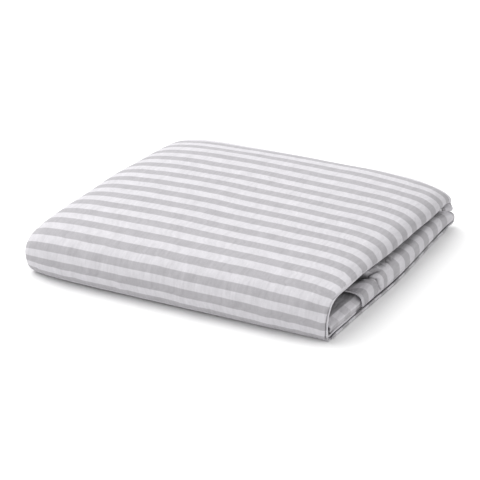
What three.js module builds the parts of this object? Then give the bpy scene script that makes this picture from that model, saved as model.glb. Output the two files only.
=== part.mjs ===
import * as THREE from "three";

// A folded duvet cover, lying flat with its rounded front fold towards the viewer.
// Millimetres, +Z up, +X to the right along the front fold, +Y to the back.
// The cover is two cloth panels sewn together. Both run through the whole pack as one
// back-and-forth section: the top strip, round the front fold, back along the floor,
// round the back fold and forward again as the middle strip.

// Thickness of one panel of cloth.
const CLOTH = 1.5;
// Middle of the pack in the frame of the tables below, so that the origin is under its centre.
const CENTRE_X = -6.5;
const CENTRE_Y = 15;
// Longest step between two sections along the panel, and between two lines across it.
const FRONT_STEP = 15;
const BACK_STEP = 18;
const FRONT_LINES = 24;
// How strongly the lines across a panel gather at its rounded sides.
const GATHER = 1.8;
// Lines of the inner panel between its middle and its creases on the right, and on the left.
const BACK_LINES = { left: 6, top: 7, side: 2, foot: 1 };

// White cloth with pale grey stripes, seen from afar.
const CLOTH_COLOUR = "#dad8dc";

// Turns a table of rows into a list of objects with the column names as keys.
function table(columns, rows) {
  return rows.map((row) => Object.fromEntries(columns.map((name, i) => [name, row[i]])));
}

// The outer panel, a row for each place along it.
// mid: the line down its middle. right and left: where each side ends, with x its widest place.
// square: how square the shoulder is. turn: how far the side turns, 90 being straight down.
const FRONT = table(
  [
    "place", "midY", "midZ", "rightY", "rightZ", "rightX", "leftY", "leftZ", "leftX", "square", "turn",
  ],
  [
    ["tucked end", 136, 31.5, 142, 24.5, 164, 126, 28, -138, 5, 100],
    ["end low", 147, 36, 158.5, 18, 170, 138, 28.5, -142, 5, 105],
    ["end notch", 147.5, 42.5, 157, 24.5, 167.5, 139.5, 30.5, -143, 5, 104],
    ["end high", 148, 49, 154, 29, 168.5, 141, 33, -144, 5, 104],
    ["back brow", 138, 57, 143, 32, 168, 133, 36, -146, 5, 104],
    ["back top", 116, 61, 118, 32.5, 168, 112, 35, -149, 5, 108],
    ["rear crown", 78, 63, 80, 34, 166, 76, 35, -154, 5, 110],
    ["crown", 30, 63, 32, 37, 163, 30, 36, -161, 5, 110],
    ["front crown", -20, 61, -18, 39.5, 159, -18, 36, -166, 5, 110],
    ["brow", -66, 57, -62, 42.5, 154, -60, 34, -172, 5, 110],
    ["high brow", -99, 51.5, -92, 42.5, 150, -88, 30, -180, 5, 105],
    ["shoulder", -118, 43.5, -108, 40.5, 147, -103, 25, -183, 5, 100],
    ["upper face", -128, 32, -118, 34, 146, -110, 20, -183, 5, 95],
    ["face", -131, 20, -122, 20, 145.5, -114, 15, -181, 5, 90],
    ["lower face", -127.5, 9, -121.5, 8, 145.5, -114.5, 8, -179, 5, 90],
    ["foot", -118.5, 2.2, -118.5, 1.5, 146, -112, 3, -175, 5, 90],
    ["floor front", -105.5, 0.75, -105.5, 0.75, 147, -100, 0.75, -170, 5, 90],
    ["floor near", -42, 0.75, -42, 0.75, 154.3, -42, 0.75, -164, 5, 90],
    ["floor", 20, 0.75, 20, 0.75, 161.5, 20, 0.75, -158, 5, 90],
    ["floor back", 130, 0.75, 130, 0.75, 166, 124, 0.75, -146, 5, 90],
    ["heel", 148, 3, 148, 1.8, 168, 140, 3, -144, 5, 90],
    ["back bend", 161, 10.5, 158.5, 5, 170, 149, 8.5, -144, 34, 105],
    ["back bend top", 157.5, 16.5, 155, 7.5, 170, 144, 10, -144, 50, 110],
    ["lower back", 140, 21.5, 139, 6.8, 168.5, 134, 8, -145, 44, 110],
    ["lower rear", 95, 27.8, 96, 5.8, 166.5, 93, 5.8, -150, 22, 110],
    ["lower middle", 42, 30.8, 42, 5.6, 164.5, 42, 5.6, -154, 22, 110],
    ["lower rise", 2, 32.6, 2, 5.5, 161, 2, 5.5, -157, 24, 110],
    ["lower slope", -28, 26, -28, 5.4, 157, -28, 5.4, -160, 34, 110],
    ["nose", -56, 20.4, -56, 5.4, 153.5, -56, 5.4, -163, 50, 110],
  ],
);

// The inner panel, a row for each place along it.
// On the right its side is folded in flat facets: top, side and foot are the three edges of them.
const BACK = table(
  [
    "place", "midY", "midZ", "rightY", "topX", "topZ", "sideX", "sideZ", "footX", "footZ", "leftY", "leftZ", "leftX",
  ],
  [
    ["inner end", 112, 54, 112, 118, 50, 127, 48.5, 135, 46.5, 108, 46, -122],
    ["inner top", 20, 55, 20, 116, 51, 125, 49.5, 133, 47.5, 20, 46, -130],
    ["inner front", -58, 50.5, -56, 112, 49, 120, 48.5, 128, 47.5, -54, 43, -136],
    ["inner front bend", -67, 46.8, -64, 112, 46.8, 120, 46.6, 128, 46.2, -62, 41, -137],
    ["inner under", -58, 43, -56, 112, 44.5, 120, 44.5, 128, 44.5, -54, 39, -136],
    ["inner middle", 20, 42, 20, 116, 42.5, 125, 42.5, 133, 42.5, 20, 40.5, -130],
    ["inner back", 112, 40.5, 112, 120, 40.5, 129, 40.5, 137, 40.5, 108, 40, -122],
    ["inner back bend", 121, 36.5, 121, 124, 36.3, 133, 36.3, 141, 36.3, 117, 36.5, -122],
    ["under back", 112, 32.4, 112, 140, 32.2, 150, 32.3, 158, 32.4, 108, 32.6, -134],
    ["under rear", 78, 32.2, 80, 140, 32.6, 150, 32.8, 158, 33.2, 76, 33, -142],
    ["under middle", 30, 34, 32, 138, 34.6, 147, 34.9, 155, 35.3, 30, 34.6, -149],
    ["under rise", -20, 36.4, -18, 134, 37, 143, 37.4, 151.5, 38, -18, 35, -155],
    ["under front", -66, 38.8, -62, 130, 40, 139, 40.4, 148, 40.8, -60, 33, -162],
    ["inside shoulder", -102, 39, -94, 128, 39.6, 136, 39.8, 144.5, 40.2, -88, 28, -168],
    ["inside brow", -118, 34.5, -109, 126, 36.6, 134, 36.8, 142.5, 37, -98, 23, -171],
    ["inside upper face", -126, 26.5, -116.5, 126, 29.5, 134, 29.6, 143, 29.7, -104, 18.5, -172],
    ["inside face", -128, 17.5, -118.8, 126, 19, 134, 19, 143.2, 19, -107, 13, -172],
    ["inside lower face", -124, 9, -119, 126, 9, 134, 9, 143.5, 9, -107.5, 8, -170],
    ["inside foot", -114, 3.8, -115, 127, 3.6, 135, 3.6, 143, 3.6, -104, 4, -167],
    ["second floor front", -101, 2.8, -100, 129, 2.8, 136, 2.8, 143.5, 2.8, -93, 2.8, -164],
    ["second floor near", -42, 2.8, -42, 134, 2.8, 142, 2.8, 150.5, 2.8, -42, 2.8, -158],
    ["second floor", 20, 2.8, 20, 141, 2.8, 149.5, 2.8, 158, 2.8, 20, 2.8, -152],
    ["second floor back", 128, 2.8, 128, 145, 2.8, 154, 2.8, 162.5, 2.8, 121, 2.8, -140],
    ["inside heel", 144, 5.2, 144, 147, 5, 157, 4.8, 164, 4.6, 135, 5.5, -138],
    ["inside back bend", 156.5, 10.5, 154, 148, 10, 159, 9.3, 165, 8.4, 144, 10.5, -138],
    ["inside bend top", 153.5, 14, 150.5, 148, 13.6, 159, 12, 165, 9.8, 140, 13, -138],
    ["middle back", 138, 19.1, 137, 148, 18.4, 159, 15.3, 164.2, 10, 130, 12, -138],
    ["middle rear", 95, 25.5, 95, 146, 23.9, 157.5, 17.3, 162.4, 9.8, 91, 8, -144],
    ["middle", 42, 28.5, 42, 144, 26.8, 156, 17.5, 160.4, 9, 42, 8, -149],
    ["middle rise", 2, 30.2, 2, 142, 28.2, 153, 17.5, 157, 7.6, 2, 8, -152],
    ["middle slope", -28, 23.6, -28, 143, 21.6, 151.2, 14.8, 153, 6.4, -28, 8, -155],
    ["middle nose", -56, 18, -56, 143.6, 15.4, 151, 11.6, 150, 5, -56, 8, -158],
    ["flap", -84, 18.5, -84, 141.6, 17, 149, 13.2, 147.5, 5.3, -82, 8, -160],
    ["flap end", -116, 19.8, -114, 137, 16, 144.5, 12.1, 143.4, 5.8, -96, 9, -162],
  ],
);

// Sections between the rows of a table. Each column runs smoothly from row to row and never
// passes the values on either side of it, so that cloth lying on cloth stays clear of it.
function sections(rows, step) {
  const gaps = rows.slice(1).map((row, i) => Math.hypot(row.midY - rows[i].midY, row.midZ - rows[i].midZ));
  const slope = (key, i) => {
    if (i === 0) return (rows[1][key] - rows[0][key]) / gaps[0];
    if (i === rows.length - 1) return (rows[i][key] - rows[i - 1][key]) / gaps[i - 1];
    const before = (rows[i][key] - rows[i - 1][key]) / gaps[i - 1];
    const after = (rows[i + 1][key] - rows[i][key]) / gaps[i];
    if (before * after <= 0) return 0;
    const weightBefore = 2 * gaps[i] + gaps[i - 1];
    const weightAfter = gaps[i] + 2 * gaps[i - 1];
    return (weightBefore + weightAfter) / (weightBefore / before + weightAfter / after);
  };
  const keys = Object.keys(rows[0]).filter((key) => key !== "place");
  const found = [];
  for (let i = 0; i < rows.length - 1; i++) {
    const count = Math.max(2, Math.ceil(gaps[i] / step));
    const last = i === rows.length - 2 ? 1 : 0;
    for (let k = 0; k < count + last; k++) {
      const u = k / count;
      const section = {};
      for (const key of keys) {
        const a = rows[i][key];
        const b = rows[i + 1][key];
        const ma = slope(key, i) * gaps[i];
        const mb = slope(key, i + 1) * gaps[i];
        section[key] =
          a * (2 * u ** 3 - 3 * u ** 2 + 1) +
          ma * (u ** 3 - 2 * u ** 2 + u) +
          b * (3 * u ** 2 - 2 * u ** 3) +
          mb * (u ** 3 - u ** 2);
      }
      found.push(section);
    }
  }
  return found;
}

// A point of the outer panel. across runs from -1 at the left side to 1 at the right side.
function frontPoint(row, across) {
  const side = across < 0 ? "left" : "right";
  const reach = Math.abs(across);
  const end = THREE.MathUtils.degToRad(row.turn);
  const angle = end * reach ** (row.square / 2);
  const out = Math.sin(angle) ** (2 / row.square);
  const drop = (1 - Math.cos(angle)) / (1 - Math.cos(end));
  return new THREE.Vector3(
    row[side + "X"] * out,
    row.midY + (row[side + "Y"] - row.midY) * drop,
    row.midZ + (row[side + "Z"] - row.midZ) * drop,
  );
}

// The line of points across the outer panel at one place.
function frontLine(row) {
  const line = [];
  for (let j = 0; j <= FRONT_LINES; j++) {
    const even = (2 * j) / FRONT_LINES - 1;
    line.push(frontPoint(row, Math.sign(even) * (1 - (1 - Math.abs(even)) ** GATHER)));
  }
  return line;
}

// The line of points across the inner panel at one place: straight from edge to edge of its facets.
function backLine(row) {
  const middle = new THREE.Vector3(0, row.midY, row.midZ);
  const left = new THREE.Vector3(row.leftX, row.leftY, row.leftZ);
  const line = [];
  for (let j = 0; j < BACK_LINES.left; j++) {
    const reach = 1 - j / BACK_LINES.left;
    const point = middle.clone().lerp(left, reach);
    point.y = row.midY + (row.leftY - row.midY) * reach ** 4;
    point.z = row.midZ + (row.leftZ - row.midZ) * reach ** 4;
    line.push(point);
  }
  line.push(middle);
  let from = middle;
  for (const edge of ["top", "side", "foot"]) {
    const to = new THREE.Vector3(row[edge + "X"], row.rightY, row[edge + "Z"]);
    for (let j = 1; j <= BACK_LINES[edge]; j++) {
      line.push(from.clone().lerp(to, j / BACK_LINES[edge]));
    }
    from = to;
  }
  return line;
}

// A closed sheet of cloth, half its thickness to each side of a grid of points.
function sheet(lines, thickness) {
  const half = thickness / 2;
  const rows = lines.length;
  const columns = lines[0].length;
  const faces = [];
  const front = [];
  const behind = [];
  for (let i = 0; i < rows; i++) {
    for (let j = 0; j < columns; j++) {
      const along = lines[Math.min(i + 1, rows - 1)][j].clone().sub(lines[Math.max(i - 1, 0)][j]);
      const over = lines[i][Math.min(j + 1, columns - 1)].clone().sub(lines[i][Math.max(j - 1, 0)]);
      const normal = over.cross(along).normalize().multiplyScalar(half);
      const point = lines[i][j];
      point.z = Math.max(point.z, half);
      for (const [side, sign] of [[front, 1], [behind, -1]]) {
        const shifted = point.clone().addScaledVector(normal, sign);
        side.push(shifted.x - CENTRE_X, shifted.y - CENTRE_Y, Math.max(shifted.z, 0));
      }
    }
  }
  const far = rows * columns;
  const quad = (a, b, c, d) => faces.push(a, b, c, a, c, d);
  for (let i = 0; i < rows - 1; i++) {
    for (let j = 0; j < columns - 1; j++) {
      const a = i * columns + j;
      const b = a + 1;
      const c = b + columns;
      const d = a + columns;
      quad(a, b, c, d);
      quad(far + a, far + d, far + c, far + b);
    }
    const l = i * columns;
    const r = l + columns - 1;
    quad(l, l + columns, far + l + columns, far + l);
    quad(r, far + r, far + r + columns, r + columns);
  }
  const last = (rows - 1) * columns;
  for (let j = 0; j < columns - 1; j++) {
    quad(j, far + j, far + j + 1, j + 1);
    quad(last + j, last + j + 1, far + last + j + 1, far + last + j);
  }
  const geometry = new THREE.BufferGeometry();
  geometry.setAttribute("position", new THREE.Float32BufferAttribute([...front, ...behind], 3));
  geometry.setIndex(faces);
  geometry.computeVertexNormals();
  return geometry;
}

function piece(name, geometry) {
  const material = new THREE.MeshStandardMaterial({ color: CLOTH_COLOUR, roughness: 0.9, metalness: 0 });
  const mesh = new THREE.Mesh(geometry, material);
  mesh.name = name;
  return mesh;
}

const cover = new THREE.Group();
cover.name = "folded_duvet_cover";
cover.add(piece("front_panel", sheet(sections(FRONT, FRONT_STEP).map(frontLine), CLOTH)));
cover.add(piece("back_panel", sheet(sections(BACK, BACK_STEP).map(backLine), CLOTH)));

export default cover;
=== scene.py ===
# %% [markdown]
# # A folded duvet cover
# The object is a cotton duvet cover folded flat like a letter: a top strip, a rounded front
# fold, a layer on the floor, a back fold, and a middle strip that comes forward again
# inside. It is made of two panels of cloth sewn together, so there are two sheets here, and
# each of them runs through the whole pack without a break.
#
# A sheet that is folded this neatly follows a rule, so it is not simulated. A table gives the
# shape of the cloth at each place along the fold, a formula fills in between, and the small
# creases are laid on top of that.

import math

import bpy
import numpy as np
from mathutils import Matrix, Vector


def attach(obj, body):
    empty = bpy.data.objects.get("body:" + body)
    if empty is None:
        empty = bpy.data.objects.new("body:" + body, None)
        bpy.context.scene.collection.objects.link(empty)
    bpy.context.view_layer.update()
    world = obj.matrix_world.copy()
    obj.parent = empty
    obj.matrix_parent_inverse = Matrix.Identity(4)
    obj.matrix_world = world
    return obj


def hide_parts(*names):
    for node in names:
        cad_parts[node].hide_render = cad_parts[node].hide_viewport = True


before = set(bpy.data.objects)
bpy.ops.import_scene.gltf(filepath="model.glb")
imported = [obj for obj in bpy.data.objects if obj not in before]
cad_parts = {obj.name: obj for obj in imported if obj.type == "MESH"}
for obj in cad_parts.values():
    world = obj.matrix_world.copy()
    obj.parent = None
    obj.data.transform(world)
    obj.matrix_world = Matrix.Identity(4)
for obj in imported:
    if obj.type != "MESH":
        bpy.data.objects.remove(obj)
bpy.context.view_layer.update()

# %% [markdown]
# ## The fold as a table
# Each row is one place along the front panel, from the end that is tucked in at the back of the
# top strip to the hem of the middle strip. `mid` is the line down the middle of the cloth;
# `right` and `left` say where its two sides end. `square` tells how flat the cloth stays before
# it rolls over its side, and `turn` how far the side rolls: 90 degrees points straight down.
# All sizes are millimetres here, because that is how a pack of cloth is measured by hand.

# %% The table of the front panel
FRONT_COLUMNS = ("place midY midZ rightY rightZ rightX leftY leftZ leftX square turn").split()
FRONT_ROWS = [
    ("tucked end", 136, 31.5, 142, 24.5, 164, 126, 28, -138, 5, 100),
    ("end low", 147, 36, 158.5, 18, 170, 138, 28.5, -142, 5, 105),
    ("end notch", 147.5, 42.5, 157, 24.5, 167.5, 139.5, 30.5, -143, 5, 104),
    ("end high", 148, 49, 154, 29, 168.5, 141, 33, -144, 5, 104),
    ("back brow", 138, 57, 143, 32, 168, 133, 36, -146, 5, 104),
    ("back top", 116, 61, 118, 32.5, 168, 112, 35, -149, 5, 108),
    ("rear crown", 78, 63, 80, 34, 166, 76, 35, -154, 5, 110),
    ("crown", 30, 63, 32, 37, 163, 30, 36, -161, 5, 110),
    ("front crown", -20, 61, -18, 39.5, 159, -18, 36, -166, 5, 110),
    ("brow", -66, 57, -62, 42.5, 154, -60, 34, -172, 5, 110),
    ("high brow", -99, 51.5, -92, 42.5, 150, -88, 30, -180, 5, 105),
    ("shoulder", -118, 43.5, -108, 40.5, 147, -103, 25, -183, 5, 100),
    ("upper face", -128, 32, -118, 34, 146, -110, 20, -183, 5, 95),
    ("face", -131, 20, -122, 20, 145.5, -114, 15, -181, 5, 90),
    ("lower face", -127.5, 9, -121.5, 8, 145.5, -114.5, 8, -179, 5, 90),
    ("foot", -118.5, 2.2, -118.5, 1.5, 146, -112, 3, -175, 5, 90),
    ("floor front", -105.5, 0.75, -105.5, 0.75, 147, -100, 0.75, -170, 5, 90),
    ("floor near", -42, 0.75, -42, 0.75, 154.3, -42, 0.75, -164, 5, 90),
    ("floor", 20, 0.75, 20, 0.75, 161.5, 20, 0.75, -158, 5, 90),
    ("floor back", 130, 0.75, 130, 0.75, 166, 124, 0.75, -146, 5, 90),
    ("heel", 148, 3, 148, 1.8, 168, 140, 3, -144, 5, 90),
    ("back bend", 161, 10.5, 158.5, 5, 170, 149, 8.5, -144, 34, 105),
    ("back bend top", 157.5, 16.5, 155, 7.5, 170, 144, 10, -144, 50, 110),
    ("lower back", 140, 21.5, 139, 6.8, 168.5, 134, 8, -145, 44, 110),
    ("lower rear", 95, 27.8, 96, 5.8, 166.5, 93, 5.8, -150, 22, 110),
    ("lower middle", 42, 30.8, 42, 5.6, 164.5, 42, 5.6, -154, 22, 110),
    ("lower rise", 2, 32.6, 2, 5.5, 161, 2, 5.5, -157, 24, 110),
    ("lower slope", -28, 26, -28, 5.4, 157, -28, 5.4, -160, 34, 110),
    ("nose", -56, 20.4, -56, 5.4, 153.5, -56, 5.4, -163, 50, 110),
]

# %% [markdown]
# The back panel lies inside the front one. Its rows are the same kind of thing, but its right
# side is pressed into flat facets with sharp creases between them, the ones that show in the
# open front fold. `top`, `side` and `foot` are the three creases of that side.

# %% The table of the back panel
BACK_COLUMNS = (
    "place midY midZ rightY topX topZ sideX sideZ footX footZ leftY leftZ leftX"
).split()
BACK_ROWS = [
    ("inner end", 112, 54, 112, 118, 50, 127, 48.5, 135, 46.5, 108, 46, -122),
    ("inner top", 20, 55, 20, 116, 51, 125, 49.5, 133, 47.5, 20, 46, -130),
    ("inner front", -58, 50.5, -56, 112, 49, 120, 48.5, 128, 47.5, -54, 43, -136),
    ("inner front bend", -67, 46.8, -64, 112, 46.8, 120, 46.6, 128, 46.2, -62, 41, -137),
    ("inner under", -58, 43, -56, 112, 44.5, 120, 44.5, 128, 44.5, -54, 39, -136),
    ("inner middle", 20, 42, 20, 116, 42.5, 125, 42.5, 133, 42.5, 20, 40.5, -130),
    ("inner back", 112, 40.5, 112, 120, 40.5, 129, 40.5, 137, 40.5, 108, 40, -122),
    ("inner back bend", 121, 36.5, 121, 124, 36.3, 133, 36.3, 141, 36.3, 117, 36.5, -122),
    ("under back", 112, 32.4, 112, 140, 32.2, 150, 32.3, 158, 32.4, 108, 32.6, -134),
    ("under rear", 78, 32.2, 80, 140, 32.6, 150, 32.8, 158, 33.2, 76, 33, -142),
    ("under middle", 30, 34, 32, 138, 34.6, 147, 34.9, 155, 35.3, 30, 34.6, -149),
    ("under rise", -20, 36.4, -18, 134, 37, 143, 37.4, 151.5, 38, -18, 35, -155),
    ("under front", -66, 38.8, -62, 130, 40, 139, 40.4, 148, 40.8, -60, 33, -162),
    ("inside shoulder", -102, 39, -94, 128, 39.6, 136, 39.8, 144.5, 40.2, -88, 28, -168),
    ("inside brow", -118, 34.5, -109, 126, 36.6, 134, 36.8, 142.5, 37, -98, 23, -171),
    ("inside upper face", -126, 26.5, -116.5, 126, 29.5, 134, 29.6, 143, 29.7, -104, 18.5, -172),
    ("inside face", -128, 17.5, -118.8, 126, 19, 134, 19, 143.2, 19, -107, 13, -172),
    ("inside lower face", -124, 9, -119, 126, 9, 134, 9, 143.5, 9, -107.5, 8, -170),
    ("inside foot", -114, 3.8, -115, 127, 3.6, 135, 3.6, 143, 3.6, -104, 4, -167),
    ("second floor front", -101, 2.8, -100, 129, 2.8, 136, 2.8, 143.5, 2.8, -93, 2.8, -164),
    ("second floor near", -42, 2.8, -42, 134, 2.8, 142, 2.8, 150.5, 2.8, -42, 2.8, -158),
    ("second floor", 20, 2.8, 20, 141, 2.8, 149.5, 2.8, 158, 2.8, 20, 2.8, -152),
    ("second floor back", 128, 2.8, 128, 145, 2.8, 154, 2.8, 162.5, 2.8, 121, 2.8, -140),
    ("inside heel", 144, 5.2, 144, 147, 5, 157, 4.8, 164, 4.6, 135, 5.5, -138),
    ("inside back bend", 156.5, 10.5, 154, 148, 10, 159, 9.3, 165, 8.4, 144, 10.5, -138),
    ("inside bend top", 153.5, 14, 150.5, 148, 13.6, 159, 12, 165, 9.8, 140, 13, -138),
    ("middle back", 138, 19.1, 137, 148, 18.4, 159, 15.3, 164.2, 10, 130, 12, -138),
    ("middle rear", 95, 25.5, 95, 146, 23.9, 157.5, 17.3, 162.4, 9.8, 91, 8, -144),
    ("middle", 42, 28.5, 42, 144, 26.8, 156, 17.5, 160.4, 9, 42, 8, -149),
    ("middle rise", 2, 30.2, 2, 142, 28.2, 153, 17.5, 157, 7.6, 2, 8, -152),
    ("middle slope", -28, 23.6, -28, 143, 21.6, 151.2, 14.8, 153, 6.4, -28, 8, -155),
    ("middle nose", -56, 18, -56, 143.6, 15.4, 151, 11.6, 150, 5, -56, 8, -158),
    ("flap", -84, 18.5, -84, 141.6, 17, 149, 13.2, 147.5, 5.3, -82, 8, -160),
    ("flap end", -116, 19.8, -114, 137, 16, 144.5, 12.1, 143.4, 5.8, -96, 9, -162),
]
CENTRE = np.array([-6.5, 15.0, 0.0])  # middle of the pack in the frame of the tables
MM = 0.001

# %% [markdown]
# ## From rows to sections
# Between two rows every column is joined by a smooth curve that never swings past the values
# on either side. An ordinary spline would overshoot where a short row step follows a long one,
# and cloth lying on cloth would then cut into it.

# %% Smooth columns
def read_rows(columns, rows):
    """The table as one array for each column, and the distance of each row along the cloth."""
    data = {name: np.array([row[i] for row in rows], float) for i, name in enumerate(columns) if i}
    steps = np.hypot(np.diff(data["midY"]), np.diff(data["midZ"]))
    return data, np.concatenate([[0.0], np.cumsum(steps)])


def smooth_column(values, places, wanted):
    """values at places, read at the wanted distances on a curve that never overshoots."""
    gaps = np.diff(places)
    rise = np.diff(values) / gaps
    slopes = np.zeros(len(values))
    slopes[0], slopes[-1] = rise[0], rise[-1]
    for i in range(1, len(values) - 1):
        before, after = rise[i - 1], rise[i]
        if before * after > 0:
            weight_before = 2 * gaps[i] + gaps[i - 1]
            weight_after = gaps[i] + 2 * gaps[i - 1]
            slopes[i] = (weight_before + weight_after) / (
                weight_before / before + weight_after / after
            )
    k = np.clip(np.searchsorted(places, wanted, side="right") - 1, 0, len(gaps) - 1)
    u = (wanted - places[k]) / gaps[k]
    return (
        values[k] * (2 * u**3 - 3 * u**2 + 1)
        + slopes[k] * gaps[k] * (u**3 - 2 * u**2 + u)
        + values[k + 1] * (3 * u**2 - 2 * u**3)
        + slopes[k + 1] * gaps[k] * (u**3 - u**2)
    )


def named_places(columns, rows):
    """The distance along the cloth of each row, by its name."""
    return dict(zip([row[0] for row in rows], read_rows(columns, rows)[1]))


def spaced(places, steps):
    """Distances along the cloth, with a step of its own up to each named place."""
    wanted = [0.0]
    for name, step in steps:
        count = max(1, math.ceil((places[name] - wanted[-1]) / step))
        wanted += list(np.linspace(wanted[-1], places[name], count + 1)[1:])
    return np.array(wanted)


def sections(columns, rows, wanted):
    """Every column of the table, read at the wanted distances along the cloth."""
    data, places = read_rows(columns, rows)
    return {name: smooth_column(column, places, wanted) for name, column in data.items()}


FRONT_PLACES = named_places(FRONT_COLUMNS, FRONT_ROWS)
BACK_PLACES = named_places(BACK_COLUMNS, BACK_ROWS)
FOOT = FRONT_PLACES["foot"]
print("front panel:", round(FRONT_PLACES["nose"]), "mm along the fold, its foot at", round(FOOT))

# %% [markdown]
# ## The surface of the front panel
# Across the cloth the shape is a rounded square: nearly flat in the middle, then a roll over
# the side. `across` runs from -1 at the left side to 1 at the right. The lines of the mesh are
# then spread by real distance, close together on the right side where the creases are, and
# further apart in the calm middle, so that no faces are wasted.

# %% Points of the front panel
def front_points(section, across):
    """Points in millimetres: one row for each section, one column for each value of across."""
    reach = np.abs(across)
    col = {name: values[:, None] for name, values in section.items()}
    end = np.radians(col["turn"])
    angle = end * reach ** (col["square"] / 2)
    out = np.sin(angle) ** (2 / col["square"])
    drop = (1 - np.cos(angle)) / (1 - np.cos(end))
    side = {axis: np.where(across >= 0, col["right" + axis], col["left" + axis]) for axis in "XYZ"}
    y = col["midY"] + (side["Y"] - col["midY"]) * drop
    z = col["midZ"] + (side["Z"] - col["midZ"]) * drop
    return np.stack([side["X"] * out, y, z], axis=2)


def run_across(points):
    """Distance of each point from the left edge of the cloth, along its section."""
    steps = np.linalg.norm(np.diff(points, axis=1), axis=2)
    return np.concatenate([np.zeros((len(points), 1)), np.cumsum(steps, axis=1)], axis=1)


ZONES = [
    # where each zone ends, mm from the left edge or, if negative, from the right edge; its lines
    (26.0, 13),
    (-44.0, 88),
    (-8.0, 43),
    (0.0, 17),
]


def spread_lines(section):
    """Values of across that spread the lines of the mesh by distance, for each section."""
    even = np.linspace(-1, 1, 1601)
    tried = np.sign(even) * (1 - (1 - np.abs(even)) ** 2.2)
    run = run_across(front_points(section, tried[None, :]))
    found = []
    for distances in run:
        wanted, total = [0.0], distances[-1]
        for stop, count in ZONES:
            stop = stop if stop > 0 else total + stop
            wanted += list(np.linspace(wanted[-1], stop, count + 1)[1:])
        found.append(np.interp(wanted, distances, tried))
    return np.array(found)


# %% [markdown]
# ## The surface of the back panel
# The same idea with straight lines from crease to crease on the right, so that the facets stay
# flat and their creases sharp. On the left the cloth just rolls down.

# %% Points of the back panel
BACK_LINES = {"left": 30, "top": 40, "side": 8, "foot": 7}


def back_points(section):
    """Points in millimetres: one row for each section, from the left side to the right."""
    middle = np.stack([np.zeros_like(section["midY"]), section["midY"], section["midZ"]], axis=1)
    lines = []
    for reach in np.linspace(1, 0, BACK_LINES["left"] + 1)[:-1]:
        bend = reach**4
        y = section["midY"] + (section["leftY"] - section["midY"]) * bend
        z = section["midZ"] + (section["leftZ"] - section["midZ"]) * bend
        lines.append(np.stack([section["leftX"] * reach, y, z], axis=1))
    lines.append(middle)
    start = middle
    for edge in ("top", "side", "foot"):
        stop = np.stack([section[edge + "X"], section["rightY"], section[edge + "Z"]], axis=1)
        for u in np.linspace(0, 1, BACK_LINES[edge] + 1)[1:]:
            lines.append(start + (stop - start) * u)
        start = stop
    return np.stack(lines, axis=1)


# %% [markdown]
# ## Small creases
# Cotton that has been pressed and folded is never quite flat. Two things are laid on the
# surface: soft uneven waves, made from smoothed random numbers with a fixed seed so that every
# run is the same, and single creases, given one by one, where the cloth is pinched. Cloth
# simulation could settle a loose throw, but not a pack that was pressed by hand, so moving the
# points in code is the better tool here.

# %% Soft waves and single creases
def waves(x, y, size_x, size_y, seed):
    """Smooth uneven heights between about -1 and 1 over a plane, in patches of the given size."""
    heights = np.random.RandomState(seed).uniform(-1, 1, (64, 64))
    u, v = x / size_x + 20.0, y / size_y + 20.0
    i, j = np.floor(u).astype(int), np.floor(v).astype(int)
    fu, fv = u - i, v - j
    fu, fv = fu * fu * (3 - 2 * fu), fv * fv * (3 - 2 * fv)
    low = heights[i % 64, j % 64] * (1 - fu) + heights[(i + 1) % 64, j % 64] * fu
    high = heights[i % 64, (j + 1) % 64] * (1 - fu) + heights[(i + 1) % 64, (j + 1) % 64] * fu
    return low * (1 - fv) + high * fv


def ramp(value, start, stop):
    """0 before start, 1 after stop and smooth between them; it falls if stop is before start."""
    u = np.clip((value - start) / (stop - start), 0, 1)
    return u * u * (3 - 2 * u)


def crease(x, y, row):
    """A soft ridge, or a trough where the height is negative, from one point to another."""
    x0, y0, x1, y1, width, height = row
    length = math.hypot(x1 - x0, y1 - y0)
    ux, uy = (x1 - x0) / length, (y1 - y0) / length
    along = (x - x0) * ux + (y - y0) * uy
    off = (x - x0) * -uy + (y - y0) * ux
    beyond = np.maximum(np.maximum(-along, along - length), 0)
    return height * np.exp(-((off / width) ** 2) - (beyond / width) ** 2)


# %% [markdown]
# The side of the lower strip is pushed together near its hem. Each row below is one crease
# there: where it starts and ends, as the distance back from the hem and in from the edge of
# the cloth, then its width, and its height above the cloth.

# %% Creases beside the hem
CREASES = [
    # back0, in0, back1, in1, width, height
    (10, 36, 26, 25, 4.2, -1.8),
    (18.5, 33.5, 28.3, 23.3, 1.2, -2.4),
    (28.3, 23.3, 32.5, 16.5, 1.1, -2.4),
    (33.2, 16.8, 31.8, 12.5, 1.1, -3.4),
    (31.8, 12.5, 33.2, 8.2, 1.0, -3.4),
    (33.2, 8.2, 36.4, 2.2, 0.9, -3.0),
    (22, 24.0, 27, 13.5, 1.6, 1.4),
    (27.5, 12.8, 31.0, 5, 1.4, 1.4),
    (36.2, 14, 37.5, 6, 1.6, 1.3),
    (31, 28.5, 42, 25.6, 1.8, 2.4),
    (30.5, 24.4, 40.5, 22.2, 1.0, -1.9),
    (44, 27, 45, 19, 2.0, 1.0),
    (68.6, 26.2, 66.5, 21.5, 0.95, 2.0),
    (61.5, 25.2, 61.8, 21.5, 0.9, 1.6),
    (56.5, 23.0, 57.4, 19.5, 0.9, 1.6),
    (58.2, 24.9, 59.4, 21.2, 0.8, -1.6),
    (50.5, 26.2, 53, 22.5, 1.1, -0.8),
]

# %% [markdown]
# ## Where the stripes are
# The stripes are woven in, so they must follow every fold. Each point of the cloth gets a
# stripe number, and the cloth is grey from each even number to the next. A table holds how far
# up from the foot of the front fold some of the numbers lie. On the real pack they run almost
# straight across the top and drop a little towards the right side, where the cloth is drawn
# down. The left columns are read by the distance from the middle, the right ones by the
# distance from the right edge.

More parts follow.
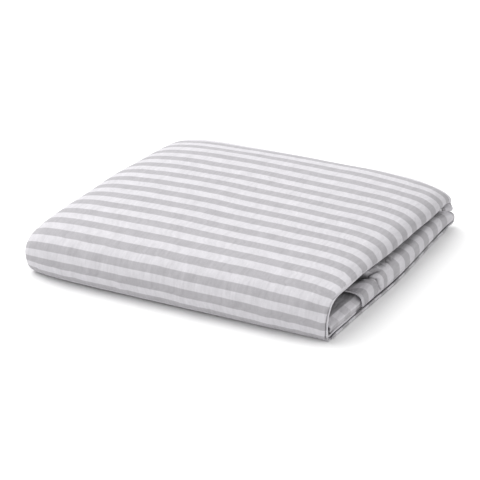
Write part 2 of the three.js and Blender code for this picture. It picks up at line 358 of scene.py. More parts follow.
# %% Stripe numbers
LEFT_PLACES = (-160, -115, -25, 60)  # mm to the right of the middle
RIGHT_PLACES = (115, 80, 45, 28, 17, 8, 3)  # mm in from the right edge; 115 is the column of 60
UPPER_STRIPES = [
    # number, then mm up the cloth at -160, -115, -25, 60, and at 80, 45, 28, 17, 8, 3 from the edge
    (-1, -1.0, 1.0, 1.0, 0.5, 0.0, -1.0, -1.5, -2.0, -2.5, -3.0),
    (1, 15.0, 15.8, 16.0, 14.9, 14.7, 13.4, 12.9, 12.0, 11.0, 10.5),
    (3, 29.6, 30.4, 30.7, 30.7, 30.5, 29.3, 28.1, 26.8, 25.0, 24.8),
    (5, 46.3, 46.1, 46.2, 46.5, 46.3, 45.0, 43.5, 41.9, 40.5, 38.9),
    (7, 65.8, 64.9, 65.2, 65.6, 65.1, 64.2, 63.1, 61.8, 60.0, 56.3),
    (10, 96.0, 94.4, 95.4, 95.2, 94.5, 93.9, 93.0, 91.6, 86.8, 81.0),
    (13, 126.2, 123.8, 125.3, 123.7, 123.5, 123.6, 123.7, 121.1, 117.0, 112.0),
    (16, 155.6, 153.2, 155.8, 152.8, 152.6, 154.1, 153.9, 152.0, 147.5, 146.2),
    (19, 184.5, 183.2, 185.5, 181.8, 182.2, 184.3, 184.6, 182.9, 180.0, 181.5),
    (22, 213.5, 213.0, 216.1, 213.1, 213.1, 215.7, 218.1, 216.9, 215.2, 218.2),
    (25, 244.2, 242.9, 246.5, 244.3, 243.7, 247.0, 250.0, 250.5, 251.2, 253.6),
    (28, 275.0, 273.9, 277.9, 277.8, 275.8, 276.9, 282.4, 284.3, 286.9, 289.3),
    (31, 301.0, 299.0, 304.0, 308.0, 305.5, 305.4, 309.6, 310.8, 312.9, 314.7),
    (35, 336.0, 337.0, 342.0, 346.0, 345.0, 345.0, 349.0, 350.0, 352.0, 354.0),
]
LOWER_STRIPES = {
    # number: mm up the cloth, which is negative beyond the foot
    -42: -502.3, -41: -493.4, -40: -482.4, -39: -474.9, -38: -462.3, -37: -455.7,
    -36: -442.5, -35: -429.0, -32: -392.8, -25: -305.0, -2: -11.5,
}


def stripe_numbers(up, x, in_from_edge):
    """The stripe number of points of the cloth."""
    columns = len(LEFT_PLACES) + len(RIGHT_PLACES) - 1
    rows = [(number,) + (height,) * columns for number, height in LOWER_STRIPES.items()]
    rows = np.array(rows + UPPER_STRIPES, float)
    stacked = np.stack([np.interp(up, rows[:, k + 1], rows[:, 0]) for k in range(columns)])
    place = np.interp(x, LEFT_PLACES, np.arange(len(LEFT_PLACES)))
    place += np.interp(-in_from_edge, -np.array(RIGHT_PLACES, float), np.arange(len(RIGHT_PLACES)))
    left = np.minimum(place.astype(int), columns - 2)
    near = np.take_along_axis(stacked, left[None], axis=0)[0]
    far = np.take_along_axis(stacked, left[None] + 1, axis=0)[0]
    return near + (far - near) * (place - left)


# %% [markdown]
# ## Making the sheets
# A grid of points becomes a mesh of four-sided faces. One UV map holds the place on the flat
# cloth in metres, so that the weave keeps its real size, and another holds the stripe number.
# The Solidify modifier then gives the sheet its thickness, half to each side.

# %% Grid helpers
def surface_normals(points):
    """Outward unit normals of a grid of points."""
    normal = np.cross(np.gradient(points, axis=0), np.gradient(points, axis=1))
    return normal / np.maximum(np.linalg.norm(normal, axis=2, keepdims=True), 1e-9)


def make_sheet(name, points, across_mm, along_mm, stripe, plain, shade, thickness):
    """A mesh object of the grid of points. `plain` hides the stripes, and `shade` darkens the
    colour as painted shade, or lightens it as painted light where it is below zero.
    """
    rows, cols = points.shape[:2]
    vertices = ((points - CENTRE) * MM).reshape(-1, 3)
    index = np.arange(rows * cols).reshape(rows, cols)
    quads = np.stack([index[:-1, :-1], index[1:, :-1], index[1:, 1:], index[:-1, 1:]], axis=2)
    quads = quads.reshape(-1, 4)
    mesh = bpy.data.meshes.new(name)
    mesh.from_pydata(vertices.tolist(), [], quads.tolist())
    maps = {"cloth": (across_mm * MM, along_mm * MM), "stripes": (plain, stripe)}
    for title, (u, v) in maps.items():
        layer = mesh.uv_layers.new(name=title)
        both = np.stack([u.ravel(), v.ravel()], axis=1)[quads.ravel()]
        layer.data.foreach_set("uv", both.astype(np.float32).ravel())
    dark = mesh.attributes.new("shade", "FLOAT", "POINT")
    dark.data.foreach_set("value", shade.astype(np.float32).ravel())
    mesh.polygons.foreach_set("use_smooth", [True] * len(mesh.polygons))
    mesh.update()
    piece = bpy.data.objects.new(name, mesh)
    bpy.context.scene.collection.objects.link(piece)
    solid = piece.modifiers.new("thickness", "SOLIDIFY")
    solid.thickness = thickness * MM
    solid.offset = 0.0
    solid.use_even_offset = False
    print(name, "has", len(quads), "faces before it gets its thickness")
    return piece


# %% [markdown]
# ## The front panel
# The outer sheet. It gets broad soft waves on the top and fine puckers on the front fold, where
# the seams inside pull the cloth. A groove runs down beside its right edge, where the side seam
# draws the corner in. The edge that lies on the floor is rolled up a little, as a pressed seam
# allowance is, and that roll is the thin light band under the whole right side.

# %% Front panel
CLOTH = 1.3  # thickness of a panel with the air in it, mm
FRONT_STEPS = [
    # place along the cloth, and the largest step of the mesh before it, mm
    ("high brow", 3.3),
    ("floor front", 2.0),
    ("heel", 10.0),
    ("back bend top", 2.2),
    ("lower middle", 3.2),
    ("lower rise", 1.5),
    ("nose", 0.85),
]
front_along = spaced(FRONT_PLACES, FRONT_STEPS)
front_section = sections(FRONT_COLUMNS, FRONT_ROWS, front_along)
front_grid = front_points(front_section, spread_lines(front_section))
front_run = run_across(front_grid)
front_side = front_run - np.take_along_axis(
    front_run, np.argmin(np.abs(front_grid[:, :, 0]), axis=1)[:, None], axis=1
)
from_edge = front_run[:, -1:] - front_run  # mm in from the right edge of the cloth
up = np.repeat((FOOT - front_along)[:, None], front_grid.shape[1], axis=1)
from_hem = FRONT_PLACES["nose"] - FOOT + up  # mm back from the hem of the lower strip
print("front panel: rows and columns of points", front_grid.shape[:2])

# %% Stripes of the front panel
LEAN, LEAN_FROM, LEAN_TO, LEAN_CURVE = 9.0, 13.0, 27.0, 1.4  # lean, and where it starts and ends, mm
SWAY = 0.04  # how far a stripe strays to either side, as a share of its width
PLAIN_EDGE = 5.4  # width of the plain white edge beside the seams on the brow, mm
lean_share = np.clip((from_edge - LEAN_FROM) / (LEAN_TO - LEAN_FROM), 0, 2) ** LEAN_CURVE
lean = LEAN * ramp(up, -200, -290) * lean_share
stripe_number = stripe_numbers(up + lean, front_grid[:, :, 0], from_edge)
stripe_number += SWAY * waves(front_side, up, 30, 60, 21)
on_brow = ramp(up, 48, 62) * ramp(up, 135, 118)
plain = ramp(np.minimum(from_edge, front_run), PLAIN_EDGE, PLAIN_EDGE - 0.5) * on_brow
print("stripe numbers run from", round(stripe_number.min()), "to", round(stripe_number.max()))

# %% [markdown]
# The smooth sheet now gets its unevenness. All of it is one height for each point, added up
# first and then laid along the surface normal, so that the layers never slide sideways.

# %% Waves, puckers, groove and creases of the front panel
GROOVE_IN, GROOVE_WIDE, GROOVE_DEEP = 2.4, 0.85, 1.4  # the pinch beside the side seam, mm
AREAS = {
    "top": ramp(up, 45, 100) * ramp(up, FOOT - 8, FOOT - 40),
    "face": ramp(up, 2, 18) * ramp(up, 82, 46),
    "lower side": ramp(from_hem, 330, 200) * ramp(from_edge, 60, 30),
}
SOFT_WAVES = [
    # area, height in mm, size across and along in mm, slant, seed
    ("top", 0.40, 55, 38, 0.0, 3),
    ("top", 0.20, 19, 24, 0.0, 5),
    ("face", 0.62, 6.5, 26, 0.0, 7),
    ("face", 0.34, 17, 34, 0.0, 11),
    ("face", 0.26, 4.4, 13, 0.25, 19),
    ("lower side", 0.22, 13, 22, 0.0, 15),
]
relief = np.zeros_like(up)
for area, height, across, along, slant, seed in SOFT_WAVES:
    relief += height * AREAS[area] * waves(front_side + slant * up, up, across, along, seed)
groove = ramp(up, 3, 9) * ramp(up, 78, 60)
in_groove = groove * np.exp(-(((from_edge - GROOVE_IN) / GROOVE_WIDE) ** 2))
relief -= GROOVE_DEEP * in_groove
on_right = front_side > 0
pinched = sum(crease(from_hem, from_edge, row) for row in CREASES) * (from_hem < 110) * on_right
relief += pinched
front_grid += surface_normals(front_grid) * relief[:, :, None]
print("relief of the front panel, mm:", round(relief.min(), 2), "to", round(relief.max(), 2))

# %% [markdown]
# Two larger forms are pushed in place: the left end of the front fold is drawn in a
# little, and the corner at the back right is full, because the bulk of the cloth is behind it.

# %% The ends of the fold
LEFT_TUCK, TUCK_REACH = 2.6, 34.0  # how far the left end is drawn in, and how much of it, mm
CORNER_BACK, CORNER_IN = 215.0, 6.5  # middle of the full corner, back from the hem and in, mm
CORNER_LONG, CORNER_WIDE = 13.0, 8.0  # how far the corner spreads, mm
CORNER_PUSH = (2.3, 0.0, 1.7)  # how far it stands out, mm
tucked = ramp(front_run, TUCK_REACH, 0) * ramp(up, -4, 8) * ramp(up, 110, 60)
front_grid[:, :, 0] += LEFT_TUCK * tucked
lower_right = (from_hem < 240) * on_right
off_back, off_in = (from_hem - CORNER_BACK) / CORNER_LONG, (from_edge - CORNER_IN) / CORNER_WIDE
corner = np.exp(-(off_back**2) - off_in**2) * lower_right
front_grid += corner[:, :, None] * np.array(CORNER_PUSH)

# %% [markdown]
# The gap between the upper and the lower strip is only a few millimetres high, and on the real
# pack more folded cloth closes it further in. A number for each point says what share of the
# light is lost there, and the cloth material darkens its colour by it: painted shade. That is
# easier to steer than packing more hidden layers into the gap. The same number paints shade in
# the groove beside the side seam, in the bottom of the creases, along the crease where the two
# corners meet and on the top strip beside its right edge, where it turns down; on the ridges in
# the gap it paints light.

# %% Where hardly any light arrives
GAP_LINE = [
    # mm back from the hem, and mm in from the edge where the upper strip lies over the lower one
    (0, 31.0),
    (25, 29.0),
    (65, 27.5),
    (105, 25.0),
    (155, 24.0),
    (205, 22.0),
]
GAP_SOFT = 8.0  # how gently the dark of the gap begins, mm
CORNER_CREASE, CREASE_WIDE = 213.5, 2.2  # where the two corners meet, back from the hem, mm
GROOVE_SHADE, GAP_SHADE, CORNER_SHADE, SIDE_SHADE = 0.80, 0.55, 0.6, 0.12  # shares of light lost
PINCH_SHADE, PINCH_MOST = 0.27, 0.78  # share lost for each mm of depth of a crease, and the most
RIDGE_LIGHT, RIDGE_MOST = 0.3, 2.0  # share won back for each mm of height of a ridge, up to, mm
SHADE_MOST = 0.85
gap_in = np.interp(from_hem, *zip(*GAP_LINE))
under_upper = ramp(from_edge, gap_in - GAP_SOFT, gap_in - 0.5) * ramp(from_hem, 212, 196)
under_upper *= ramp(front_side, 0, 60)
# Painted shade, and painted light on the ridges, as shares of light lost from the colour
shade = GROOVE_SHADE * in_groove + GAP_SHADE * under_upper
shade += np.clip(-PINCH_SHADE * pinched, 0, PINCH_MOST)
shade -= RIDGE_LIGHT * np.clip(pinched, 0, RIDGE_MOST) * under_upper
shade += SIDE_SHADE * ramp(from_edge, 30, 13) * ramp(up, 70, 110)
corner_crease = np.exp(-(((from_hem - CORNER_CREASE) / CREASE_WIDE) ** 2)) * lower_right
shade += CORNER_SHADE * corner_crease * ramp(from_edge, 30, 20) * ramp(from_edge, 4, 10)
shade = np.clip(shade, 0, SHADE_MOST)
print("darkest point of the front panel loses", round(float(shade.max()), 2), "of its light")

# %% [markdown]
# A pressed seam allowance curls up at the edge. The last millimetres of the sheet are wound
# round a small circle, and the lower strip above them is drawn up off the floor a little, so
# that light, dark and light lines lie above each other as they do on the real pack.

# %% The rolled edge on the floor
ROLL, ROLL_OUT, ROLL_LIFT = 0.75, 0.3, 0.8  # radius, place inside the edge, height off the floor, mm
ROLL_LENGTH = ROLL * math.pi * 1.05  # a little more than half a turn
ROLL_EASE = 9.0  # the cloth beside the roll is drawn out over this width, mm
SIDE_LIFT, SIDE_REACH = 1.7, 9.0  # the side of the lower strip is drawn up off the floor, mm
on_floor = ramp(up, -1, -9) * ramp(from_hem, 225, 240) * on_right
angle = np.clip((ROLL_LENGTH - from_edge) / ROLL, 0, None)
stretch = (ROLL_LENGTH - ROLL_OUT) * np.clip(1 - (from_edge - ROLL_LENGTH) / ROLL_EASE, 0, 1)
rolled_x = np.where(
    angle > 0,
    front_grid[:, -1:, 0] - ROLL_OUT + ROLL * np.sin(angle),
    front_grid[:, :, 0] + stretch,
)
lift = ROLL_LIFT * ramp(from_edge, 6, 2.5) + ROLL * (1 - np.cos(angle))
front_grid[:, :, 0] += on_floor * (rolled_x - front_grid[:, :, 0])
front_grid[:, :, 2] += on_floor * lift
drawn_up = ramp(from_edge, SIDE_REACH, 0) * ramp(from_hem, 222, 205) * on_right
front_grid[:, :, 2] += SIDE_LIFT * drawn_up
front_grid[:, :, 2] = np.maximum(front_grid[:, :, 2], CLOTH / 2)
front_panel = make_sheet(
    "front_cloth", front_grid, front_side, up, stripe_number, plain, shade, CLOTH
)

# %% [markdown]
# ## The back panel
# The inner sheet. Only its edges, the inside of the front fold and the creased flap show. Its
# stripes are the same cloth seen from behind, so they only need a number of their own.

# %% Back panel
BACK_STEPS = [
    # place along the cloth, and the largest step of the mesh before it, mm
    ("under front", 8.0),
    ("second floor front", 3.0),
    ("inside heel", 10.0),
    ("flap end", 3.0),
]
BACK_STRIPE, BACK_FIRST = 12.0, 1173.0  # width of a stripe, and where the numbers start, mm
WRONG_SIDE = 0.5  # how much paler the stripes are on the wrong side of the cloth
# Painted shade and painted light on the facets of the flap, as shares of light lost or won
DEEP_SHADE = 0.42  # the share of light that is lost deep inside the fold
FOOT_SHADE, EDGE_SHADE, EDGE_LINES = 0.14, 0.4, 2  # on the lowest facet, and on its last lines
SIDE_LIGHT = 0.14  # the facet that faces the opening is a little lighter
FLAP_FROM, FLAP_TO = 1090.0, 1120.0  # the flap comes into view between these places, mm
BACK_RELIEF = 0.25  # height of its soft waves, mm
back_along = spaced(BACK_PLACES, BACK_STEPS)
back_section = sections(BACK_COLUMNS, BACK_ROWS, back_along)
back_grid = back_points(back_section)
back_run = run_across(back_grid)
back_side = back_run - back_run[:, BACK_LINES["left"]][:, None]
back_up = np.repeat(-back_along[:, None], back_grid.shape[1], axis=1)
back_relief = BACK_RELIEF * waves(back_side, back_up, 16, 19, 31)
back_grid += surface_normals(back_grid) * back_relief[:, :, None]
back_number = (back_up + BACK_FIRST) / BACK_STRIPE
column = np.arange(back_grid.shape[1])
top_from, side_from, foot_from = np.cumsum([BACK_LINES[name] for name in ("left", "top", "side")])
# Painted shade: dark top facet deep in the fold, a lighter facet facing the opening, darker lowest
# facet and last lines
deep = DEEP_SHADE * ((column > top_from) & (column <= side_from))
deep = deep - SIDE_LIGHT * ((column > side_from) & (column <= foot_from))
deep += FOOT_SHADE * (column > foot_from)
deep += EDGE_SHADE * (column > foot_from + BACK_LINES["foot"] - EDGE_LINES)
deep = deep[None, :] * ramp(back_along, FLAP_FROM, FLAP_TO)[:, None]
back_plain = np.full_like(back_number, WRONG_SIDE)
back_panel = make_sheet(
    "back_cloth", back_grid, back_side, back_up, back_number, back_plain, deep, CLOTH
)

# %% [markdown]
# ## Striped cotton
# White cotton with woven grey stripes. The stripes come from the stripe number on the UV map,
# with slightly soft edges, as threads of two colours meet. Fine noise drawn out along the
# threads stands for the weave, both in the colour and as a tiny bump. A slower noise gives the
# faint mottling of washed cotton, and one drawn out along the cloth the fine wrinkles that are
# left when it is pressed: a bump, and their light and shade painted into the colour as light
# and dark streaks. Last, the painted shade of the `shade` attribute darkens the colour.
# The surface is matt with a little sheen.

# %% Cloth materials
WHITE = (0.560, 0.548, 0.574, 1.0)
GREY = (0.380, 0.370, 0.388, 1.0)
STRIPE_BLUR = 0.03  # half the soft edge between two stripes, as a share of a stripe and its gap
WARP, WEFT = (1500, 240), (240, 1500)  # bumps to the metre across and along the cloth
MOTTLE, WRINKLES = (90, 55), (330, 62)
# The wrinkles lighten and darken the cloth as painted light and shade of their folds
SOFT_CHANGE, WRINKLE_SHADE_CHANGE = 0.045, 0.05  # how much lighter or darker they make the cloth


def add_node(tree, kind, **settings):
    """A new node, in rows of six. Its properties and inputs are set or linked by their names."""
    node = tree.nodes.new(kind)
    row, place_in_row = divmod(len(tree.nodes), 6)
    node.location = (220 * place_in_row, -320 * row)
    for key, value in settings.items():
        if hasattr(node, key):
            setattr(node, key, value)
        elif isinstance(value, bpy.types.NodeSocket):
            tree.links.new(value, node.inputs[key.replace("_", " ")])
        else:
            node.inputs[key.replace("_", " ")].default_value = value
    return node


def math_node(tree, operation, first, second):
    """The result of a Math node fed by sockets or plain numbers."""
    node = add_node(tree, "ShaderNodeMath", operation=operation)
    for socket, value in zip(node.inputs, (first, second)):
        if isinstance(value, bpy.types.NodeSocket):
            tree.links.new(value, socket)
        else:
            socket.default_value = value
    return node.outputs[0]


def multiplied(tree, colour, share):
    """A colour multiplied by a number that differs from place to place."""
    node = add_node(tree, "ShaderNodeMix", data_type="RGBA", blend_type="MULTIPLY")
    node.inputs[0].default_value = 1.0
    tree.links.new(colour, node.inputs[6])
    tree.links.new(share, node.inputs[7])
    return node.outputs[2]


def weave_noise(tree, cloth, scale, detail=2.0):
    """Noise over the flat cloth, with its own number of bumps to the metre each way."""
    drawn_out = add_node(tree, "ShaderNodeMapping", Vector=cloth, Scale=(*scale, 1)).outputs[0]
    settings = {"noise_dimensions": "2D", "Vector": drawn_out, "Scale": 1.0, "Detail": detail}
    return add_node(tree, "ShaderNodeTexNoise", **settings).outputs["Fac"]


def spread_node(tree, value, from_range, to_range, kind="LINEAR"):
    """A value taken from one range to another by a Map Range node."""
    node = add_node(tree, "ShaderNodeMapRange", interpolation_type=kind, Value=value)
    names = ("From Min", "From Max", "To Min", "To Max")
    for name, number in zip(names, (*from_range, *to_range)):
        node.inputs[name].default_value = number
    return node.outputs[0]


def stripe_share(tree):
    """1 on a stripe, 0 beside it and where the cloth is plain."""
    lanes = add_node(tree, "ShaderNodeUVMap", uv_map="stripes").outputs[0]
    parts = add_node(tree, "ShaderNodeSeparateXYZ", Vector=lanes)
    half = math_node(tree, "MULTIPLY", parts.outputs[1], 0.5)
    shifted = math_node(tree, "ADD", half, 0.25)
    fold = math_node(tree, "PINGPONG", shifted, 0.5)
    blur = (0.25 - STRIPE_BLUR, 0.25 + STRIPE_BLUR)
    edge = spread_node(tree, fold, blur, (0, 1), "SMOOTHSTEP")
    bare = math_node(tree, "SUBTRACT", 1.0, parts.outputs[0])
    return math_node(tree, "MULTIPLY", edge, bare)


def cotton_material(name, striped):
    """Woven cotton, with or without the stripes."""
    material = bpy.data.materials.new(name)
    material.use_nodes = True
    tree = material.node_tree
    tree.nodes.clear()
    cloth = add_node(tree, "ShaderNodeUVMap", uv_map="cloth").outputs[0]
    colour = add_node(tree, "ShaderNodeMix", data_type="RGBA")
    colour.inputs[6].default_value = WHITE
    colour.inputs[7].default_value = GREY
    colour.inputs[0].default_value = 0.0
    if striped:
        tree.links.new(stripe_share(tree), colour.inputs[0])

    warp = weave_noise(tree, cloth, WARP)
    weft = weave_noise(tree, cloth, WEFT)
    weave = math_node(tree, "ADD", warp, weft)
    mottle = weave_noise(tree, cloth, MOTTLE, 3.0)
    wrinkles = weave_noise(tree, cloth, WRINKLES)
    slight, clear = (1 - SOFT_CHANGE, 1 + SOFT_CHANGE), (1 - WRINKLE_SHADE_CHANGE, 1 + WRINKLE_SHADE_CHANGE)
    threads = spread_node(tree, weave, (0.6, 1.4), slight)
    soft = spread_node(tree, mottle, (0.25, 0.75), slight)
    # Painted light and shade of the fine wrinkles, as light and dark streaks in the colour
    wrinkle_shade = spread_node(tree, wrinkles, (0.25, 0.75), clear)
    soft = math_node(tree, "MULTIPLY", soft, wrinkle_shade)
    uneven = math_node(tree, "MULTIPLY", threads, soft)
    worn_and_wrinkle_shaded = multiplied(tree, colour.outputs[2], uneven)
    lost = add_node(tree, "ShaderNodeAttribute", attribute_name="shade")
    kept = math_node(tree, "SUBTRACT", 1.0, lost.outputs["Fac"])
    shaded = multiplied(tree, worn_and_wrinkle_shaded, kept)

    bump = "ShaderNodeBump"
    creased = add_node(tree, bump, Strength=0.5, Distance=0.0012, Height=wrinkles).outputs[0]
    settings = {"Strength": 0.35, "Distance": 0.0003, "Height": weave, "Normal": creased}
    normal = add_node(tree, bump, **settings).outputs[0]
    settings = {
        "Base Color": shaded,
        "Normal": normal,
        "Roughness": 0.86,
        "Sheen Weight": 0.15,
        "Sheen Roughness": 0.5,
        "Specular IOR Level": 0.25,
    }
    shader = add_node(tree, "ShaderNodeBsdfPrincipled", **settings)
    add_node(tree, "ShaderNodeOutputMaterial", Surface=shader.outputs[0])
    return material


striped_cotton = cotton_material("striped cotton", True)
for piece in (front_panel, back_panel):
    piece.data.materials.append(striped_cotton)

# %% [markdown]
# ## The side seams and the hem
# The two panels are joined down both sides by a seam, whose rolled edge shows as a narrow white
# rim. It runs along the top strip and down the edge of the front fold, turns at the foot and
# goes back along the floor. A second, finer roll is the hem of the lower strip. A roll follows
# a path with the same cross-section all the way, and that is a task for Geometry Nodes: the
# tree sweeps a circle along a curve, and the curve's own radius makes it thicker or thinner.

# %% A Geometry Nodes tree that sweeps a roll along a curve
def new_tree(name, numbers):
    """A tree with geometry in and out and a named input for each number, and what it is given."""
    tree = bpy.data.node_groups.new(name, "GeometryNodeTree")
    tree.interface.new_socket("Geometry", in_out="INPUT", socket_type="NodeSocketGeometry")
    for title, value in numbers.items():
        kind = "NodeSocketInt" if isinstance(value, int) else "NodeSocketFloat"
        socket = tree.interface.new_socket(title, in_out="INPUT", socket_type=kind)
        socket.default_value = value
    tree.interface.new_socket("Material", in_out="INPUT", socket_type="NodeSocketMaterial")
    tree.interface.new_socket("Geometry", in_out="OUTPUT", socket_type="NodeSocketGeometry")
    return tree, add_node(tree, "NodeGroupInput").outputs


def end_tree(tree, given, last):
    """Ends a tree with Realize Instances and Set Material."""
    real = add_node(tree, "GeometryNodeRealizeInstances", Geometry=last).outputs[0]
    material = given["Material"]
    paint = add_node(tree, "GeometryNodeSetMaterial", Geometry=real, Material=material)
    add_node(tree, "NodeGroupOutput", Geometry=paint.outputs[0])


def points_along(tree, given, spacing):
    """The curve of the tree with evenly spaced points."""
    settings = {"mode": "LENGTH", "Curve": given["Geometry"], "Length": given[spacing]}
    return add_node(tree, "GeometryNodeResampleCurve", **settings).outputs[0]


def roll_tree():
    """A round roll swept along a curve, as thick at each point as the curve's own radius says."""
    numbers = {"Spacing": 0.0016, "Radius": 0.001, "Sides": 10}
    tree, given = new_tree("roll along a path", numbers)
    circle = {"Resolution": given["Sides"], "Radius": given["Radius"]}
    settings = {
        "Curve": points_along(tree, given, "Spacing"),
        "Profile Curve": add_node(tree, "GeometryNodeCurvePrimitiveCircle", **circle).outputs[0],
        "Scale": add_node(tree, "GeometryNodeInputRadius").outputs[0],
        "Fill Caps": True,
    }
    sweep = add_node(tree, "GeometryNodeCurveToMesh", **settings)
    smooth = add_node(tree, "GeometryNodeSetShadeSmooth", Geometry=sweep.outputs[0])
    end_tree(tree, given, smooth.outputs[0])
    return tree


STITCH = {"Pitch": 0.0031, "Length": 0.0022, "Thickness": 0.00045, "Seed": 4}  # m


def stitch_tree():
    """Short threads lying along a curve."""
    tree, given = new_tree("stitches along a path", STITCH)
    ball = {"Segments": 6, "Rings": 4, "Radius": 0.5}
    size = {"X": given["Length"], "Y": given["Thickness"], "Z": given["Thickness"]}
    size = add_node(tree, "ShaderNodeCombineXYZ", **size).outputs[0]
    vary = add_node(tree, "FunctionNodeRandomValue", data_type="FLOAT", Seed=given["Seed"])
    vary.inputs[2].default_value, vary.inputs[3].default_value = 0.85, 1.1
    scale = {"operation": "SCALE", "Vector": size, "Scale": vary.outputs[1]}
    tangent = add_node(tree, "GeometryNodeInputTangent").outputs[0]
    aim = {"axis": "X", "Vector": tangent}
    settings = {
        "Points": points_along(tree, given, "Pitch"),
        "Instance": add_node(tree, "GeometryNodeMeshUVSphere", **ball).outputs[0],
        "Rotation": add_node(tree, "FunctionNodeAlignRotationToVector", **aim).outputs[0],
        "Scale": add_node(tree, "ShaderNodeVectorMath", **scale).outputs[0],
    }
    place = add_node(tree, "GeometryNodeInstanceOnPoints", **settings)
    end_tree(tree, given, place.outputs[0])
    return tree


# %% [markdown]
# A path is a plain poly curve. The modifier runs the tree on it, the result is copied out as an
# ordinary mesh, and the curve is thrown away. The inputs are set before the first evaluation.

# %% From paths to plain meshes
def run_tree(name, tree, paths, material, settings):
    """Runs a tree over several paths of (points in mm, radius shares) and returns one mesh object."""
    curve = bpy.data.curves.new(name + "_path", "CURVE")
    curve.dimensions = "3D"
    for points, radii in paths:
        spline = curve.splines.new("POLY")
        spline.points.add(len(points) - 1)
        flat = np.concatenate([(points - CENTRE) * MM, np.ones((len(points), 1))], axis=1)
        spline.points.foreach_set("co", flat.ravel())
        spline.points.foreach_set("radius", radii)
    carrier = bpy.data.objects.new(name + "_path", curve)
    bpy.context.scene.collection.objects.link(carrier)
    modifier = carrier.modifiers.new("tree", "NODES")
    modifier.node_group = tree
    wanted = dict(settings, Material=material)
    for item in tree.interface.items_tree:
        if item.in_out == "INPUT" and item.name in wanted:
            modifier[item.identifier] = wanted[item.name]
    graph = bpy.context.evaluated_depsgraph_get()
    mesh = bpy.data.meshes.new_from_object(carrier.evaluated_get(graph))
    mesh.name = name
    carrier.modifiers.remove(modifier)
    bpy.data.objects.remove(carrier)
    piece = bpy.data.objects.new(name, mesh)
    bpy.context.scene.collection.objects.link(piece)
    print(name, "has", len(mesh.polygons), "faces")
    return piece


# %% [markdown]
# Seams follow the edge of the cloth, so their paths are read from the grid of the panel. If the
# panel changes, the seams move with it, which hand-typed paths would not do.

# %% Paths on the front panel
front_normals = surface_normals(front_grid)


def edge_path(inset, low, high, lift, side="right"):
    """Points a distance inside one edge of the cloth, from one distance up it to another."""
    run = from_edge if side == "right" else front_run
    points = []
    for i in np.flatnonzero((front_along > FOOT - high) & (front_along < FOOT - low)):
        column = int(np.argmin(np.abs(run[i] - inset)))
        points.append(front_grid[i, column] + lift * front_normals[i, column])
    return np.array(points)


def row_path(back, low, high, lift):
    """Points across the lower strip, a distance back from its hem."""
    i = int(np.argmin(np.abs(from_hem[:, 0] - back)))
    keep = (from_edge[i] > low) & (from_edge[i] < high)
    return front_grid[i, keep] + lift * front_normals[i, keep]


# %% [markdown]
# Where two panels are sewn together, the allowance inside makes a thin round welt along the
# edge. Each welt is a path with a radius at every point, swept by the tree above. A bevelled
# curve would do the same; the tree has the advantage that its inputs have names.

# %% Seam rolls and the hem roll
FLOOR_EDGE = [
    # y, and x of the edge of the cloth on the floor, mm
    (-105.5, 147.0),
    (-42, 154.3),
    (20, 161.5),
    (130, 166.0),
]
SEAM_FLOOR = [
    # y, how far inside the edge the seam lies, its height and its thickness, mm
    (-105, 1.3, 5.6, 1.15),
    (-68, 1.3, 5.6, 1.15),
    (-58, 3.9, 3.9, 0.8),
    (115, 3.9, 3.6, 0.8),
]
TURN_AT_FOOT = [
    # x, y, z of the seam where it turns from the front fold to the floor, mm
    (144.9, -121.6, 7.2),
    (145.0, -120.2, 6.2),
    (145.2, -117, 5.6),
    (145.5, -112, 5.5),
]
SEAM_TOP = 318  # how far up the cloth the side seams show, mm
SEAM_RIGHT_FOOT, SEAM_LEFT_FOOT = 8, 6  # and where they start, mm up from the foot
SEAM_THICK, SEAM_THINNER = 0.72, 0.25  # radius on the front fold, and how much less on the top, mm
floor_y = np.linspace(SEAM_FLOOR[0][0], SEAM_FLOOR[-1][0], 60)
seam_y, *seam_columns = zip(*SEAM_FLOOR)
seam_in, seam_z, seam_thick = (np.interp(floor_y, seam_y, column) for column in seam_columns)
floor_x = np.interp(floor_y, *zip(*FLOOR_EDGE)) - seam_in
on_floor_path = np.stack([floor_x, floor_y, seam_z], axis=1)
upper = edge_path(0.8, SEAM_RIGHT_FOOT, SEAM_TOP, 0.3)
right_seam = np.concatenate([upper, np.array(TURN_AT_FOOT), on_floor_path])
shown = (front_along > FOOT - SEAM_TOP) & (front_along < FOOT - SEAM_RIGHT_FOOT)
upper_radii = SEAM_THICK - SEAM_THINNER * ramp(FOOT - front_along[shown], 105, 160)
right_radii = np.concatenate([upper_radii, np.full(len(TURN_AT_FOOT), SEAM_THICK), seam_thick])
left_seam = edge_path(0.9, SEAM_LEFT_FOOT, SEAM_TOP, 0.3, "left")
white_cotton = cotton_material("white cotton", False)
roll = roll_tree()
side_seams = run_tree(
    "side_seams",
    roll,
    [(right_seam, right_radii), (left_seam, np.full(len(left_seam), 0.8))],
    white_cotton,
    {"Spacing": 0.0018, "Radius": 0.001, "Sides": 10},
)
hem = row_path(0, 2, 200, 0.0)
hem_roll = run_tree(
    "hem_roll",
    roll,
    [(hem, np.ones(len(hem)))],
    white_cotton,
    {"Spacing": 0.0015, "Radius": 0.00078, "Sides": 8},
)

# %% [markdown]
# The hem is held by a row of small stitches. One stitch with few faces is made once and the
# tree sets it down along the path, which keeps the mesh small.

# %% Stitches
SEAM_STITCH_IN, SEAM_STITCH_FROM, SEAM_STITCH_TO = 5.6, 66, 130  # in from the edge, up the cloth, mm
HEM_STITCH_BACK = 2.6  # mm back from the hem
thread = cotton_material("cotton thread", False)
seam_line = edge_path(SEAM_STITCH_IN, SEAM_STITCH_FROM, SEAM_STITCH_TO, 0.68)
seam_line_left = edge_path(SEAM_STITCH_IN, SEAM_STITCH_FROM, SEAM_STITCH_TO, 0.68, "left")
hem_line = row_path(HEM_STITCH_BACK, 3, 200, 0.72)
lines = [(points, np.ones(len(points))) for points in (seam_line, seam_line_left, hem_line)]
stitches = run_tree("stitches", stitch_tree(), lines, thread, STITCH)

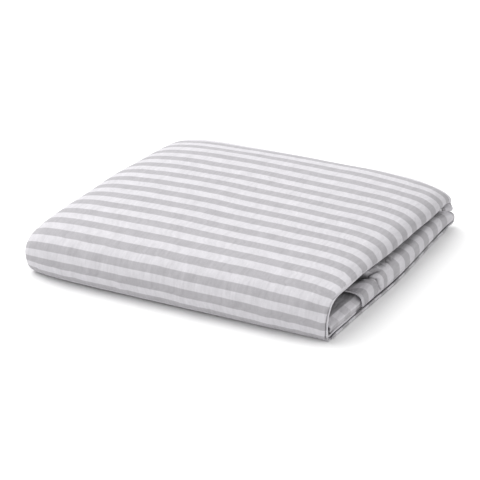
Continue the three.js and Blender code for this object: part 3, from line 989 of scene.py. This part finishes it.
# %% [markdown]
# ## Give the pieces to the frame
# Each sheet stands for its solid and rides on the one body of the pack.

# %% Ride and replace
for piece, node in ((front_panel, "front_panel"), (back_panel, "back_panel")):
    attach(piece, "root")
    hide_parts(node)

for piece in (side_seams, hem_roll, stitches):
    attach(piece, "root")


# %% [markdown]
# ## Floor, light and camera
# A large plain floor of matt white paper, so wide that its edges never come into the picture.

# %% Floor
FLOOR = 6.0  # half the width of the floor, m
corners = [(-FLOOR, -FLOOR, 0), (FLOOR, -FLOOR, 0), (FLOOR, FLOOR, 0), (-FLOOR, FLOOR, 0)]
floor_mesh = bpy.data.meshes.new("floor")
floor_mesh.from_pydata(corners, [], [(0, 1, 2, 3)])
floor = bpy.data.objects.new("floor", floor_mesh)
bpy.context.scene.collection.objects.link(floor)
paper = bpy.data.materials.new("white paper")
paper.use_nodes = True
paper_shader = paper.node_tree.nodes["Principled BSDF"]
paper_shader.inputs["Base Color"].default_value = (0.93, 0.93, 0.93, 1)
paper_shader.inputs["Roughness"].default_value = 0.9
paper_shader.inputs["Specular IOR Level"].default_value = 0.1
floor_mesh.materials.append(paper)

# %% [markdown]
# A bright even sky gives most of the light and fills the shadows, as in a white tent. One large
# soft lamp above on the left adds a little direction, so the shadow falls to the right and
# stays soft.

# %% Light
SKY, LAMP_POWER, LAMP_SIZE = 0.92, 25.0, 1.8  # strength, watts and metres
LAMP_PLACE = Vector((-0.78, 0.1, 1.55))
world = bpy.data.worlds.new("studio")
bpy.context.scene.world = world
world.use_nodes = True
sky = world.node_tree.nodes["Background"]
sky.inputs["Color"].default_value = (1.0, 1.0, 1.0, 1)
sky.inputs["Strength"].default_value = SKY
lamp_data = bpy.data.lights.new("soft lamp", "AREA")
lamp_data.shape = "RECTANGLE"
lamp_data.size, lamp_data.size_y = LAMP_SIZE, LAMP_SIZE
lamp_data.energy = LAMP_POWER
lamp = bpy.data.objects.new("soft lamp", lamp_data)
bpy.context.scene.collection.objects.link(lamp)
aim = (-LAMP_PLACE).to_track_quat("-Z", "Y").to_matrix().to_4x4()
lamp.matrix_world = Matrix.Translation(LAMP_PLACE) @ aim
bpy.context.scene.view_settings.view_transform = "Standard"

# %% [markdown]
# A long lens from far away keeps the opposite edges of the pack nearly parallel, as in a
# catalogue picture.

# %% Camera
AZIMUTH, HEIGHT = math.radians(25.1), math.radians(26.5)
DISTANCE = 1.7  # m
SENSOR = 36.0  # mm
FOCAL_PIXELS, PICTURE_PIXELS = 1700, 480  # focal length and width of the picture, pixels
TARGET = Vector((0.0065, -0.015, 0.020))
back = Vector(
    (math.sin(AZIMUTH) * math.cos(HEIGHT), -math.cos(AZIMUTH) * math.cos(HEIGHT), math.sin(HEIGHT))
)
right = Vector((math.cos(AZIMUTH), math.sin(AZIMUTH), 0))
camera_data = bpy.data.cameras.new("camera")
camera_data.sensor_width = SENSOR
camera_data.sensor_fit = "HORIZONTAL"
camera_data.lens = SENSOR * FOCAL_PIXELS / PICTURE_PIXELS
camera = bpy.data.objects.new("camera", camera_data)
bpy.context.scene.collection.objects.link(camera)
turn = Matrix((right, back.cross(right), back)).transposed().to_4x4()
camera.matrix_world = Matrix.Translation(TARGET + back * DISTANCE) @ turn
bpy.context.scene.camera = camera
print("lens", round(camera_data.lens, 1), "mm at", DISTANCE, "m")
